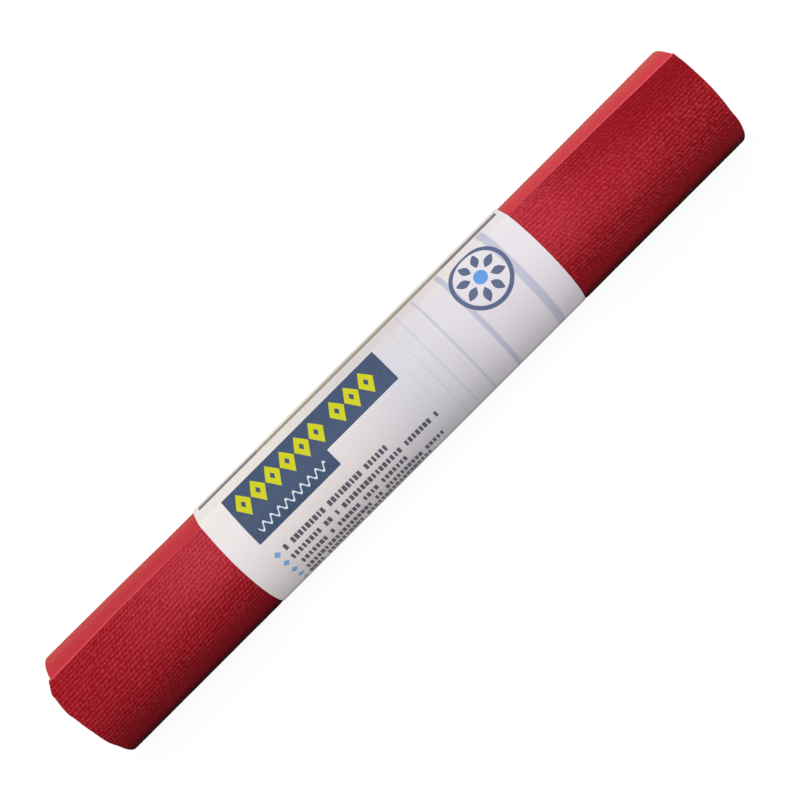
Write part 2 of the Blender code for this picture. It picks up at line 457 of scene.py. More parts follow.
def pulled_tight(points):
    """The corners of the convex outline round some points, in the order of the winding's angles."""
    ordered = sorted(map(tuple, points))
    corners = []
    for row in (ordered, ordered[::-1]):
        chain = []
        for y, z in row:
            while len(chain) > 1:
                (y0, z0), (y1, z1) = chain[-2:]
                if (y1 - y0) * (z - z1) - (z1 - z0) * (y - y1) > 0:
                    break
                chain.pop()
            chain.append((y, z))
        corners += chain[:-1]
    return np.array(corners[::-1])


def angles_of(line):
    return np.arctan2(line[:, 1] - ROLL_AXIS.z, ROLL_AXIS.y - line[:, 0])


def paper_route():
    """The line that the paper's inner face follows, one point per millimetre, from the seam once round and
    over its own first edge, with the way out from the roll at each point."""
    runs = np.linspace(UNDER_EDGE, MAT_LENGTH, ROLL_POINTS)
    _, y, z = wound(np.full_like(runs, SLEEVE_MIDDLE), runs, np.full_like(runs, MAT_THICKNESS))
    corners = pulled_tight(np.column_stack((y, z)))
    off_seam = np.remainder(angles_of(corners) - SEAM_ANGLE + math.pi, FULL_TURN) - math.pi
    corners = np.roll(corners, -np.argmin(np.abs(off_seam)), axis=0)
    closed = np.vstack((corners, corners[:1]))
    walked = np.concatenate(([0], np.cumsum(np.linalg.norm(np.diff(closed, axis=0), axis=1))))
    once_round = walked[-1]
    count = round((once_round + SEAM_OVERLAP) / MM)
    distance = np.linspace(0, once_round + SEAM_OVERLAP, count + 1)
    bend = np.linspace(-PAPER_BEND, PAPER_BEND, BEND_POINTS)[:, None]

    def at(places):
        near = np.remainder(places + bend, once_round)
        return np.column_stack([np.interp(near, walked, row).mean(axis=0) for row in closed.T])

    ahead = at(distance + MM / 2) - at(distance - MM / 2)
    out = np.column_stack((-ahead[:, 1], ahead[:, 0]))
    out /= np.linalg.norm(out, axis=1)[:, None]
    return distance, at(distance), out, once_round


def wrap_sleeve(printed, bare):
    """The strip of paper, from its flat slab to its place round the roll."""
    distance, line, out, once_round = paper_route()
    half_width = SLEEVE_WIDTH / 2
    across = np.linspace(SLEEVE_MIDDLE - half_width, SLEEVE_MIDDLE + half_width, PAPER_COLUMNS + 1)
    sleeve = finished_piece("printed_sleeve", flat_slab(across, distance, 0, PAPER_THICKNESS))
    mesh = sleeve.data
    coat(mesh, bare, printed, facing_up(mesh) > 0.5)
    flat = flat_places(mesh)
    angles = np.unwrap(angles_of(line))
    facing_at = np.interp(VIEW_HEIGHT + FULL_TURN, angles + (FULL_TURN if angles[0] < 0 else 0), distance)
    keep_on_corners(mesh, "printed_face", flat[:, :2] - np.array([0, facing_at]))
    x, walked, height = flat.T
    around = np.interp(walked, distance, angles)
    proud_middle, proud_reach = PROUD_AT
    off_proudest = np.clip((around - proud_middle) / proud_reach, -1, 1)
    proud = PAPER_PROUD * (1 + np.cos(math.pi * off_proudest)) / 2
    climb = np.clip((walked - once_round + SEAM_CLIMB) / SEAM_CLIMB, 0, 1) * SEAM_STEP
    lift = SLEEVE_CLEARANCE + climb + proud + height
    inner = (np.interp(walked, distance, line[:, axis]) for axis in (0, 1))
    outward = (np.interp(walked, distance, out[:, axis]) * lift for axis in (0, 1))
    y, z = (start + way for start, way in zip(inner, outward))
    to_left = (SLEEVE_MIDDLE + half_width - x) / SLEEVE_WIDTH
    x = x - PAPER_ASKEW * to_left * smooth_step(around, *ASKEW_AT)
    set_points(mesh, (x, y, np.maximum(z, 0)))
    mesh.set_sharp_from_angle(angle=PAPER_SHARP)
    return sleeve


# Materials, worked out node by node, each node fed with numbers or with other nodes


def feed(tree, socket, value):
    if isinstance(value, bpy.types.NodeSocket):
        tree.links.new(value, socket)
    else:
        socket.default_value = value


def calc(tree, operation, *values):
    step = tree.nodes.new("ShaderNodeMath")
    step.operation = operation
    for socket, value in zip(step.inputs, values):
        feed(tree, socket, value)
    return step.outputs[0]


def plus(tree, first, second):
    return calc(tree, "ADD", first, second)


def minus(tree, first, second):
    return calc(tree, "SUBTRACT", first, second)


def times(tree, first, second):
    return calc(tree, "MULTIPLY", first, second)


def over(tree, first, second):
    return calc(tree, "DIVIDE", first, second)


def off(tree, value, middle):
    return calc(tree, "ABSOLUTE", minus(tree, value, middle))


def ramp(tree, value, low, high, to_low=0.0, to_high=1.0):
    """Goes smoothly from one value to another as the given one rises from low to high."""
    step = tree.nodes.new("ShaderNodeMapRange")
    step.interpolation_type = "SMOOTHSTEP"
    for socket, given in zip(step.inputs, (value, low, high, to_low, to_high)):
        feed(tree, socket, given)
    return step.outputs[0]


def between(tree, value, low, high, soft):
    risen = ramp(tree, value, low - soft, low + soft)
    fallen = ramp(tree, value, high - soft, high + soft, 1.0, 0.0)
    return times(tree, risen, fallen)


def both(tree, *shares):
    total = shares[0]
    for share in shares[1:]:
        total = times(tree, total, share)
    return total


def either(tree, *shares):
    total = shares[0]
    for share in shares[1:]:
        total = calc(tree, "MAXIMUM", total, share)
    return total


def tinted(tree, share, first, second):
    """The second colour over the first one, as thick as the share says."""
    step = tree.nodes.new("ShaderNodeMix")
    step.data_type = "RGBA"
    feed(tree, step.inputs["Factor"], share)
    for name, colour in (("A", first), ("B", second)):
        feed(tree, step.inputs[name], colour if isinstance(colour, bpy.types.NodeSocket) else (*colour, 1))
    return step.outputs["Result"]


def stained(tree, value, stops):
    """A colour that changes evenly from each place in the list to the next."""
    low, high = stops[0][0], stops[-1][0]
    step = tree.nodes.new("ShaderNodeValToRGB")
    feed(tree, step.inputs[0], over(tree, minus(tree, value, low), high - low))
    marks = step.color_ramp.elements
    while len(marks) < len(stops):
        marks.new(0.5)
    for mark, (place, colour) in zip(marks, stops):
        mark.position = (place - low) / (high - low)
        mark.color = (*colour, 1)
    return step.outputs[0]


def cloud(tree, where, scale, detail, roughness=0.5):
    step = tree.nodes.new("ShaderNodeTexNoise")
    feed(tree, step.inputs["Vector"], where)
    step.inputs["Scale"].default_value = scale
    step.inputs["Detail"].default_value = detail
    step.inputs["Roughness"].default_value = roughness
    return step.outputs["Fac"]


def apart(tree, vector):
    step = tree.nodes.new("ShaderNodeSeparateXYZ")
    tree.links.new(vector, step.inputs[0])
    return step.outputs


def on_object(tree):
    return tree.nodes.new("ShaderNodeTexCoord").outputs["Object"]


def on_sheet(tree, name):
    """The two numbers that keep_on_corners kept of a point."""
    source = tree.nodes.new("ShaderNodeUVMap")
    source.uv_map = name
    return apart(tree, source.outputs[0])[:2]


def bumped(tree, shader, height, distance, strength=1.0):
    step = tree.nodes.new("ShaderNodeBump")
    step.inputs["Strength"].default_value = strength
    step.inputs["Distance"].default_value = distance
    feed(tree, step.inputs["Height"], height)
    tree.links.new(step.outputs["Normal"], shader.inputs["Normal"])


def new_finish(name, roughness, specular=0.5):
    material = bpy.data.materials.new(name)
    material.use_nodes = True
    shader = material.node_tree.nodes["Principled BSDF"]
    shader.inputs["Roughness"].default_value = roughness
    shader.inputs["Specular IOR Level"].default_value = specular
    return material, material.node_tree, shader


# The finishes. A change is given by where it starts and ends, and its values there if not 0 and 1, a noise
# by scale, detail and roughness, a gloss by roughness and shine, and a relief by depth and strength.

# The mat's skin
SKIN_GLOSS = (0.8, 0.025)
FOAM_HOLLOW = (0.268, 0.0040, 0.0098)
FOAM_NUB = (0.382, 0.0132, 0.0225)
# The tips are rubbed paler and also carry a painted highlight
FOAM_TIP_WORN_AND_LIT = (0.53, 0.050, 0.063)
# The darkest tone is painted shade, laid low on the roll
FOAM_PAINTED_SHADE = (0.03, 0.0010, 0.0018)
# A pale tone for the painted highlight beside the sleeve
FOAM_HIGHLIGHT = (0.73, 0.075, 0.112)
# A tone for the painted patch of light at the right
FOAM_LIT = (0.85, 0.055, 0.085)
SKIN_PORES = (1500, 3.0, 0.6)
SKIN_CRUMBS = (560, 2.0, 0.6)
SKIN_PATCHES = (26, 3.0, 0.55)
SKIN_RELIEF = (0.16 * MM, 0.8)
FORM_RELIEF = 0.4
PORE_RELIEF = 0.75
SIDES_MEET = 0.1

# What wears the grain: blotches, whose scale is per nub and per row, and crumbs
BLOTCH_STRETCH = (0.8, 1.3)
SKIN_BLOTCHES = (1.0, 3.0, 0.6)
BLOTCH_DEPTH = 3.2
CRUMB_DEPTHS = (6.8, 9.0)
GRAIN_FADES = (22 * MM, 50 * MM, 0.3, 1.0)

# By the worn form of the grain: its colours and its roughness
NUB_RISES = (-2.4, 1.2)
TIP_RISES = (-0.6, 3.4)
SKIN_ROUGHNESS = (-0.8, 1.4, 0.92, 0.66)

# Duller patches at random, and painted shade at the right end, near the free edge, and at the left end
PATCH_DULL = (0.3, 0.7, 0.0, 0.2)
RIGHT_END_SHADE = (0.17, 0.235)
RIGHT_END_MOST_SHADE = (0.215, 0.25, 0.42, 0.62)
EDGE_SHADE_RISES = (MAT_LENGTH - 38 * MM, MAT_LENGTH - 14 * MM)
LEFT_END_SHADE = (-0.292, -0.262, 0.13, 0.0)

# The painted patch of light before the free edge at the right
LIT_ALONG = (0.14, 0.25, 0.03)
LIT_RISES = (MAT_LENGTH - 66 * MM, MAT_LENGTH - 46 * MM)
LIT_FADES = (MAT_LENGTH - 34 * MM, MAT_LENGTH - 10 * MM, 0.12, 0.04)

# The painted highlight, pale and chalky, beside the sleeve, left and right
HIGHLIGHT_FROM_SLEEVE = 5 * MM
HIGHLIGHT_REACHES = (122 * MM, 66 * MM)
HIGHLIGHT_STARTS = (MAT_LENGTH - 56 * MM, MAT_LENGTH - 61 * MM)
HIGHLIGHT_FULL = (MAT_LENGTH - 24 * MM, MAT_LENGTH - 28 * MM)
HIGHLIGHT_MOST = (0.52, 0.45)
HIGHLIGHT_PATCHES = (0.25, 0.6, 0.3, 1.0)
HIGHLIGHT_ON_FORM = (-1.8, 2.0, 0.45, 1.0)

# The strip of skin under the free edge, painted paler with light and sheen, left and right, by the
# millimetres past it, and the painted highlight on the edge's rim
STRIP_RISES = (UNDER_EDGE - 9 * MM, UNDER_EDGE - 5 * MM)
STRIP_FADES = (UNDER_EDGE + 36 * MM, UNDER_EDGE + 66 * MM, 1.0, 0.0)
STRIP_SHARE = 0.85
STRIP_SHEEN_TINTS = (
    ((8.5, (0.63, 0.050, 0.064)), (12.5, (0.63, 0.057, 0.067)),
     (17.0, (0.67, 0.080, 0.082)), (26.0, (0.70, 0.105, 0.097))),
    ((8.5, (0.74, 0.067, 0.084)), (12.5, (0.74, 0.084, 0.090)),
     (17.0, (0.735, 0.112, 0.110)), (26.0, (0.77, 0.145, 0.126))),
)
RIM_HIGHLIGHT_RISES = (MAT_LENGTH - 2.8 * MM, MAT_LENGTH - 1.6 * MM)
RIM_HIGHLIGHT_BARES = (0, 60 * MM, 0.35, 1.0)
RIM_HIGHLIGHT_TINTS = ((0.69, 0.082, 0.105), (0.83, 0.092, 0.120))

# The painted shade low on the foam, deeper in front, and deeper at the left than at the right
FOAM_SHADE_IN_FRONT = (-22 * MM, 6 * MM, 1.0, 0.45)
FOAM_SHADE_FADES = (30 * MM, 68 * MM)
FOAM_SHADE_MOST = (0.36, 0.20)
FOAM_SHADES_MEET = 0.15
FOAM_LOWEST_SHADE = (14 * MM, 29.5 * MM, 0.98, 0.0)


class SkinPlace:
    """Where a point of the skin is: on the flat mat, in its grain and in the roll."""

    def __init__(self, tree):
        self.across, self.run = on_sheet(tree, "laid_flat")
        self.nubs, self.rows = on_sheet(tree, "grain_rows")
        self.spot = on_object(tree)
        _, self.backward, self.height = apart(tree, self.spot)
        self.beyond = minus(tree, off(tree, self.across, SLEEVE_MIDDLE), SLEEVE_WIDTH / 2)
        self.to_right = ramp(tree, self.across, -SLANTED_FROM, SLANTED_FROM)


def by_side(tree, place, values, meet=SIDES_MEET):
    """One value at the left of the roll and another at its right."""
    return ramp(tree, place.across, -meet, meet, *values)


def worn_form(tree, place):
    """The ribs and nubs that the mesh has, rubbed unevenly, and fainter low on the roll."""
    row = times(tree, place.rows, math.pi)
    column = times(tree, place.nubs, FULL_TURN)
    rib = calc(tree, "COSINE", times(tree, row, 2.0))
    falling = calc(tree, "COSINE", plus(tree, row, column))
    rising = calc(tree, "COSINE", minus(tree, row, column))
    less = (1 - NUB_SLANT) / 2
    more = (1 + NUB_SLANT) / 2
    falling = times(tree, falling, ramp(tree, place.to_right, 0, 1, less, more))
    rising = times(tree, rising, ramp(tree, place.to_right, 0, 1, more, less))
    form = plus(tree, rib, times(tree, plus(tree, falling, rising), NUB_SHARE))
    on_grain = tree.nodes.new("ShaderNodeCombineXYZ")
    for socket, count, stretch in zip(on_grain.inputs, (place.nubs, place.rows), BLOTCH_STRETCH):
        feed(tree, socket, times(tree, count, stretch))
    blotches = minus(tree, cloud(tree, on_grain.outputs[0], *SKIN_BLOTCHES), 0.5)
    crumbs = minus(tree, cloud(tree, place.spot, *SKIN_CRUMBS), 0.5)
    blotched = times(tree, blotches, BLOTCH_DEPTH)
    crumbled = times(tree, crumbs, by_side(tree, place, CRUMB_DEPTHS))
    worn = plus(tree, form, plus(tree, blotched, crumbled))
    return times(tree, worn, ramp(tree, place.height, *GRAIN_FADES))


def grain_colours(tree, place, form, patches):
    skin = tinted(tree, ramp(tree, form, *NUB_RISES), FOAM_HOLLOW, FOAM_NUB)
    skin = tinted(tree, ramp(tree, form, *TIP_RISES), skin, FOAM_TIP_WORN_AND_LIT)
    skin = tinted(tree, ramp(tree, patches, *PATCH_DULL), skin, FOAM_HOLLOW)
    # Painted shade at the right end near the free edge, and at the left end, in the hollows' tone
    most_shade = ramp(tree, place.across, *RIGHT_END_MOST_SHADE)
    at_edge = ramp(tree, place.run, *EDGE_SHADE_RISES, 0.0, most_shade)
    at_right = both(tree, ramp(tree, place.across, *RIGHT_END_SHADE), at_edge)
    at_left = ramp(tree, place.across, *LEFT_END_SHADE)
    return tinted(tree, either(tree, at_right, at_left), skin, FOAM_HOLLOW)


def lit_and_highlighted(tree, place, form, patches, skin):
    # Painted light before the free edge at the right, and a painted highlight beside the sleeve
    lit = both(
        tree,
        between(tree, place.across, *LIT_ALONG),
        ramp(tree, place.run, *LIT_RISES),
        ramp(tree, place.run, *LIT_FADES),
    )
    sides = (HIGHLIGHT_REACHES, HIGHLIGHT_MOST, HIGHLIGHT_STARTS, HIGHLIGHT_FULL)
    reach, most, starts, full = (by_side(tree, place, values) for values in sides)
    highlight = both(
        tree,
        ramp(tree, place.beyond, HIGHLIGHT_FROM_SLEEVE, reach, most, 0.0),
        ramp(tree, place.run, starts, full),
        ramp(tree, patches, *HIGHLIGHT_PATCHES),
        ramp(tree, form, *HIGHLIGHT_ON_FORM),
    )
    return tinted(tree, highlight, tinted(tree, lit, skin, FOAM_LIT), FOAM_HIGHLIGHT)


def sheen_strip_and_rim_highlight(tree, place, skin):
    # The strip past the free edge is painted paler with light and sheen
    strip = both(tree, ramp(tree, place.run, *STRIP_RISES), ramp(tree, place.run, *STRIP_FADES))
    past_edge = times(tree, minus(tree, place.run, UNDER_EDGE), IN_MM)
    strip_sheen = tinted(tree, place.to_right, *(stained(tree, past_edge, tints) for tints in STRIP_SHEEN_TINTS))
    skin = tinted(tree, times(tree, strip, STRIP_SHARE), skin, strip_sheen)
    # A painted highlight along the free edge's rim, weaker near the sleeve
    rim_highlight = both(tree, ramp(tree, place.run, *RIM_HIGHLIGHT_RISES), ramp(tree, place.beyond, *RIM_HIGHLIGHT_BARES))
    return tinted(tree, rim_highlight, skin, tinted(tree, place.to_right, *RIM_HIGHLIGHT_TINTS))


def shaded_low(tree, place, skin):
    # Painted shade, low on the foam and most in front
    in_front = ramp(tree, place.backward, *FOAM_SHADE_IN_FRONT)
    most = by_side(tree, place, FOAM_SHADE_MOST, FOAM_SHADES_MEET)
    low_down = ramp(tree, place.height, *FOAM_SHADE_FADES, most, 0.0)
    for share in (low_down, ramp(tree, place.height, *FOAM_LOWEST_SHADE)):
        skin = tinted(tree, both(tree, share, in_front), skin, FOAM_PAINTED_SHADE)
    return skin


def embossed_foam():
    """The mat's skin: nubs rubbed a little paler than the hollows between them, with painted highlights on
    their tips, fine pores, and painted light, sheen, highlights and shade: beside the sleeve, near the free
    edge, at the ends and low on the roll."""
    material, tree, shader = new_finish("embossed_foam", *SKIN_GLOSS)
    place = SkinPlace(tree)
    form = worn_form(tree, place)
    patches = cloud(tree, place.spot, *SKIN_PATCHES)
    skin = grain_colours(tree, place, form, patches)
    skin = lit_and_highlighted(tree, place, form, patches, skin)
    skin = shaded_low(tree, place, sheen_strip_and_rim_highlight(tree, place, skin))
    feed(tree, shader.inputs["Base Color"], skin)
    feed(tree, shader.inputs["Roughness"], ramp(tree, form, *SKIN_ROUGHNESS))
    pores = cloud(tree, place.spot, *SKIN_PORES)
    fine = plus(tree, times(tree, form, FORM_RELIEF), times(tree, pores, PORE_RELIEF))
    bumped(tree, shader, fine, *SKIN_RELIEF)
    return material


# The foam where the mat was cut: the faces of the flat slab that lean more than this
CUT_LEANS = 0.6
CUT_GLOSS = (0.85, 0.1)
CUT_CELLS = (2300, 3.0, 0.65)
CUT_BROAD = (160, 2.0)
CUT_TINTS = ((0.34, 0.016, 0.026), (0.62, 0.072, 0.10))
CUT_WORN = (0.45, 0.035, 0.055)
CELLS_OPEN = (0.32, 0.66)
WORN_SHARE = (0.35, 0.7, 0.0, 0.3)
CUT_ROUGHNESS = (0.3, 0.7, 0.95, 0.75)
CUT_RELIEF = (0.2 * MM, 0.9)


def cut_foam():
    """The foam where the mat was cut: paler, with open cells."""
    material, tree, shader = new_finish("cut_foam", *CUT_GLOSS)
    place = on_object(tree)
    cells = cloud(tree, place, *CUT_CELLS)
    colour = tinted(tree, ramp(tree, cells, *CELLS_OPEN), *CUT_TINTS)
    colour = tinted(tree, ramp(tree, cloud(tree, place, *CUT_BROAD), *WORN_SHARE), colour, CUT_WORN)
    feed(tree, shader.inputs["Base Color"], colour)
    feed(tree, shader.inputs["Roughness"], ramp(tree, cells, *CUT_ROUGHNESS))
    bumped(tree, shader, cells, *CUT_RELIEF)
    return material


# The net
NET_GLOSS = (0.9, 0.3)
YARN_PITCH = 2 * MM
YARN_RISES = (-0.1, 0.5)
NET_TINTS = ((0.40, 0.03, 0.045), (0.70, 0.33, 0.34))
NET_STRANDS = (3000, 2.0)
STRAND_TINT = (0.55, 0.16, 0.17)
STRAND_SHARE = (0.35, 0.7, 0.0, 0.4)
STRAND_RELIEF = 0.4
NET_RELIEF = 0.1 * MM


def net_yarn():
    """The net: yarns both ways, two millimetres apart, with foam that has come through between them."""
    material, tree, shader = new_finish("net_yarn", *NET_GLOSS)
    yarns = []
    for place in on_sheet(tree, "laid_flat"):
        wave = calc(tree, "SINE", times(tree, place, FULL_TURN / YARN_PITCH))
        yarns.append(ramp(tree, wave, *YARN_RISES))
    yarn = either(tree, *yarns)
    strands = cloud(tree, on_object(tree), *NET_STRANDS)
    colour = tinted(tree, yarn, *NET_TINTS)
    colour = tinted(tree, ramp(tree, strands, *STRAND_SHARE), colour, STRAND_TINT)
    feed(tree, shader.inputs["Base Color"], colour)
    bumped(tree, shader, plus(tree, yarn, times(tree, strands, STRAND_RELIEF)), NET_RELIEF)
    return material


# The paper's bare side and its cut edges
BARE_GLOSS = (0.7, 0.4)
BARE_FIBRES = (900, 4.0, 0.65)
BARE_TINTS = ((0.66, 0.64, 0.61), (0.76, 0.745, 0.72))
FIBRES_SHOW = (0.3, 0.7)
BARE_ROUGHNESS = (0.3, 0.7, 0.6, 0.8)
BARE_RELIEF = 0.03 * MM


def bare_paper():
    """The paper where it has no coat: a little grey, with fibres."""
    material, tree, shader = new_finish("bare_paper", *BARE_GLOSS)
    fibres = cloud(tree, on_object(tree), *BARE_FIBRES)
    feed(tree, shader.inputs["Base Color"], tinted(tree, ramp(tree, fibres, *FIBRES_SHOW), *BARE_TINTS))
    feed(tree, shader.inputs["Roughness"], ramp(tree, fibres, *BARE_ROUGHNESS))
    bumped(tree, shader, fibres, BARE_RELIEF)
    return material


# The glue in the sleeve's seam
GLUE_ROUGHNESS = 0.35
GLUE_BEADS = (320, 2.0)
GLUE_TINTS = ((0.74, 0.68, 0.53), (0.80, 0.77, 0.66))
BEADS_SHOW = (0.3, 0.7)
GLUE_RELIEF = 0.08 * MM


def dried_glue():
    """Yellowish glue, dried in beads."""
    material, tree, shader = new_finish("dried_glue", GLUE_ROUGHNESS)
    beads = cloud(tree, on_object(tree), *GLUE_BEADS)
    feed(tree, shader.inputs["Base Color"], tinted(tree, ramp(tree, beads, *BEADS_SHOW), *GLUE_TINTS))
    bumped(tree, shader, beads, GLUE_RELIEF)
    return material


# The print, in millimetres: along the roll from its middle, and round it from the line that faces the camera
PRINT_SOFT = 0.12
SLATE = (0.053, 0.0855, 0.166)
SOFT_SLATE = (0.112, 0.146, 0.262)
YELLOW = (0.65, 0.65, 0.006)
PALE_LINE = (0.80, 0.82, 0.90)
SKY = (0.13, 0.35, 0.80)
PALE_SKY = (0.225, 0.43, 0.78)
INK = (0.112, 0.11, 0.155)
PALE_STRIPE = (0.477, 0.50, 0.68)
TAN = (0.38, 0.30, 0.21)
DUN = (0.22, 0.185, 0.175)

# The paper's tints, with painted light and shade: darker in the middle and lighter towards the ends, in
# front from the left to the right, then lighter higher up, and plain behind
PAPER_LIT_TINTS = (
    (-150, (0.865, 0.81, 0.81)),
    (-40, (0.82, 0.76, 0.765)),
    (-16, (0.78, 0.735, 0.765)),
    (11, (0.725, 0.70, 0.76)),
    (50, (0.755, 0.725, 0.775)),
    (92, (0.82, 0.775, 0.825)),
    (140, (0.845, 0.79, 0.845)),
)
TOP_FROM = (26.0, 42.0)
TOP_LIT_TINTS = (
    (-150, (0.95, 0.89, 0.86)),
    (-91, (0.92, 0.86, 0.81)),
    (-37, (0.83, 0.78, 0.755)),
    (-9, (0.775, 0.725, 0.71)),
    (33, (0.795, 0.74, 0.725)),
    (68, (0.845, 0.775, 0.76)),
    (92, (0.90, 0.84, 0.83)),
    (141, (0.93, 0.865, 0.875)),
)
BACK_FROM = (60.0, 85.0)
PLAIN_BACK = (0.88, 0.83, 0.80)

# The panel and its foot, as left, right, low and high, with rows of lozenges and a wavy line on them
PANEL = (-133.3, 13.9, 7.9, 37.5)
PANEL_FOOT = (-133.3, -55.2, -5.7, 8.2)
LOZENGE_ROWS = ((-129.5, 6), (-39.0, 3))
LOZENGE_PITCH = 14.05
LOZENGE_HALF = (6.6, 10.2)
LOZENGE_LEVEL = 22.7
LOZENGE_SOLID = (0.3, 1.0, 0.02)
WAVE_SPAN = (-126.5, -62.0)
WAVE_LEVEL = 1.8
WAVE_LENGTH = 7.2
WAVE_HEIGHT = 2.3
WAVE_LINE = (0.5, 1.2)

# The lines of blocks, bolder and higher towards the last line, and the lozenge before each line
LINE_ENDS = (-21.9, 21.1, -21.7, 10.0, -6.2)
LINE_START = -124.3
FIRST_LINE = -19.45
LINE_SPACING = 9.47
LINE_SHIFT = 0.37
MARK_PITCH = 3.55
MARK_HALF_WIDTHS = (0.9, 1.5)
MARK_HALF_HEIGHTS = (2.4, 4.1)
BOLDER_FROM = 2.5
BOLDER_BY = 0.2
GAP_SHARE = 0.12
DRAWS_PER_LINE = 91.0
WIDTH_SEED = 0.5
GAP_SEED = 0.25
BULLET_AT = -130.5
BULLET_SIZE = 2.9

# The stripes that run round the roll, as middle, width and strength, and the thin rule along its top
STRIPES = (
    (124.0, 6.2, 0.72), (81.9, 3.9, 0.72), (57.8, 1.9, 0.6),
    (42.1, 1.1, 0.45), (32.0, 1.0, 0.3), (22.5, 1.0, 0.16),
)
STRIPE_SOFT_SHARE = 0.12
STRIPES_END = (49.0, 54.0)
RULE = (-150.1, 143.7, 54.0, 60.0)
RULE_TILT = 0.005
RULE_TAN = (-92.7, 89.6, 0.6)

# The rosette: its middle, its ring, its leaves' start, end and half width, and its eye
ROSETTE = (102.5, 17.5)
ROSETTE_RING = (20.0, 23.2)
ROSETTE_LEAVES = 8
ROSETTE_LEAF = (7.4, 18.6, 3.1)
ROSETTE_EYE = 5.2

# The coated paper under the print
COAT_GLOSS = (0.48, 0.07)
COAT_FIBRES = (700, 3.0, 0.6)
COAT_RIPPLES = (18, 2.0, 0.4)
FIBRE_GREY = (0.5, 0.5, 0.5)
FIBRE_SHARE = (0.35, 0.65, 0.0, 0.05)
COAT_ROUGHNESS = (0.3, 0.7, 0.38, 0.5)
FIBRE_RELIEF = 0.03
RIPPLE_RELIEF = 0.6
COAT_RELIEF = (0.4 * MM, 0.5)
# Painted shade low on the paper, most in front
SHADE = (0.12, 0.10, 0.10)
SHADE_IN_FRONT = (-22 * MM, 6 * MM, 1.0, 0.3)
SHADE_FADES = (7 * MM, 20.5 * MM, 0.95, 0.0)


def box_share(tree, along, round_, box):
    left, right, low, high = box
    beside = between(tree, along, left, right, PRINT_SOFT)
    return both(tree, beside, between(tree, round_, low, high, PRINT_SOFT))


def up_to(tree, value, edge):
    return ramp(tree, value, edge - PRINT_SOFT, edge + PRINT_SOFT, 1.0, 0.0)


def within(tree, aside, reach):
    """Whether a place this far off a middle line is within a reach, which may change along the print."""
    room = minus(tree, reach, calc(tree, "ABSOLUTE", aside))
    return ramp(tree, room, -PRINT_SOFT, PRINT_SOFT)


def lozenge_share(tree, along, round_):
    """Rows of upright lozenges, each with a small lozenge left open in its middle."""
    rows = []
    half_width, half_height = LOZENGE_HALF
    up = over(tree, off(tree, round_, LOZENGE_LEVEL), half_height)
    for start, count in LOZENGE_ROWS:
        from_start = minus(tree, along, start)
        in_cell = calc(tree, "MODULO", from_start, LOZENGE_PITCH)
        aside = over(tree, off(tree, in_cell, LOZENGE_PITCH / 2), half_width)
        solid = between(tree, plus(tree, aside, up), *LOZENGE_SOLID)
        span = between(tree, from_start, 0.0, count * LOZENGE_PITCH, PRINT_SOFT)
        rows.append(both(tree, solid, span))
    return either(tree, *rows)


def wave_share(tree, along, round_):
    swing = calc(tree, "SINE", times(tree, along, FULL_TURN / WAVE_LENGTH))
    level = plus(tree, times(tree, swing, WAVE_HEIGHT), WAVE_LEVEL)
    on_line = ramp(tree, off(tree, round_, level), *WAVE_LINE, 1.0, 0.0)
    return both(tree, on_line, between(tree, along, *WAVE_SPAN, PRINT_SOFT))


def line_level(index):
    return FIRST_LINE - LINE_SPACING * index


def line_shares(tree, along, round_):
    lines = []
    for index, end in enumerate(LINE_ENDS):
        level = line_level(index)
        span = (LINE_START, end, level - LINE_SPACING / 2, level + LINE_SPACING / 2)
        lines.append(box_share(tree, along, round_, span))
    return either(tree, *lines)


def drawn(tree, which, seed):
    """A random number from 0 to 1 for each block."""
    step = tree.nodes.new("ShaderNodeTexWhiteNoise")
    step.noise_dimensions = "1D"
    feed(tree, step.inputs["W"], plus(tree, which, seed))
    return step.outputs["Value"]


def mark_share(tree, along, round_):
    """Five lines of small plain blocks of uneven width, with gaps between some of them."""
    downward = over(tree, minus(tree, FIRST_LINE + LINE_SPACING / 2, round_), LINE_SPACING)
    line = calc(tree, "FLOOR", downward)
    up = times(tree, minus(tree, calc(tree, "FRACT", downward), 0.5), -LINE_SPACING)
    forward = plus(tree, over(tree, along, MARK_PITCH), times(tree, line, LINE_SHIFT))
    aside = times(tree, minus(tree, calc(tree, "FRACT", forward), 0.5), MARK_PITCH)
    block_middle = minus(tree, along, aside)
    which = plus(tree, calc(tree, "FLOOR", forward), times(tree, line, DRAWS_PER_LINE))
    narrow, wide = MARK_HALF_WIDTHS
    last_line = len(LINE_ENDS) - 1.0
    narrowest = ramp(tree, line, BOLDER_FROM, last_line, narrow, narrow + BOLDER_BY)
    half_width = plus(tree, narrowest, times(tree, drawn(tree, which, WIDTH_SEED), wide - narrow))
    half_height = ramp(tree, line, BOLDER_FROM, last_line, *MARK_HALF_HEIGHTS)
    block = both(tree, within(tree, aside, half_width), within(tree, up, half_height))
    kept = calc(tree, "GREATER_THAN", drawn(tree, which, GAP_SEED), GAP_SHARE)
    return both(tree, block, kept, line_shares(tree, block_middle, round_))


def bullet_share(tree, along, round_):
    """A small four-cornered lozenge before each line."""
    aside = off(tree, along, BULLET_AT)
    bullets = []
    for index in range(len(LINE_ENDS)):
        up = off(tree, round_, line_level(index))
        bullets.append(up_to(tree, plus(tree, aside, up), BULLET_SIZE))
    return either(tree, *bullets)


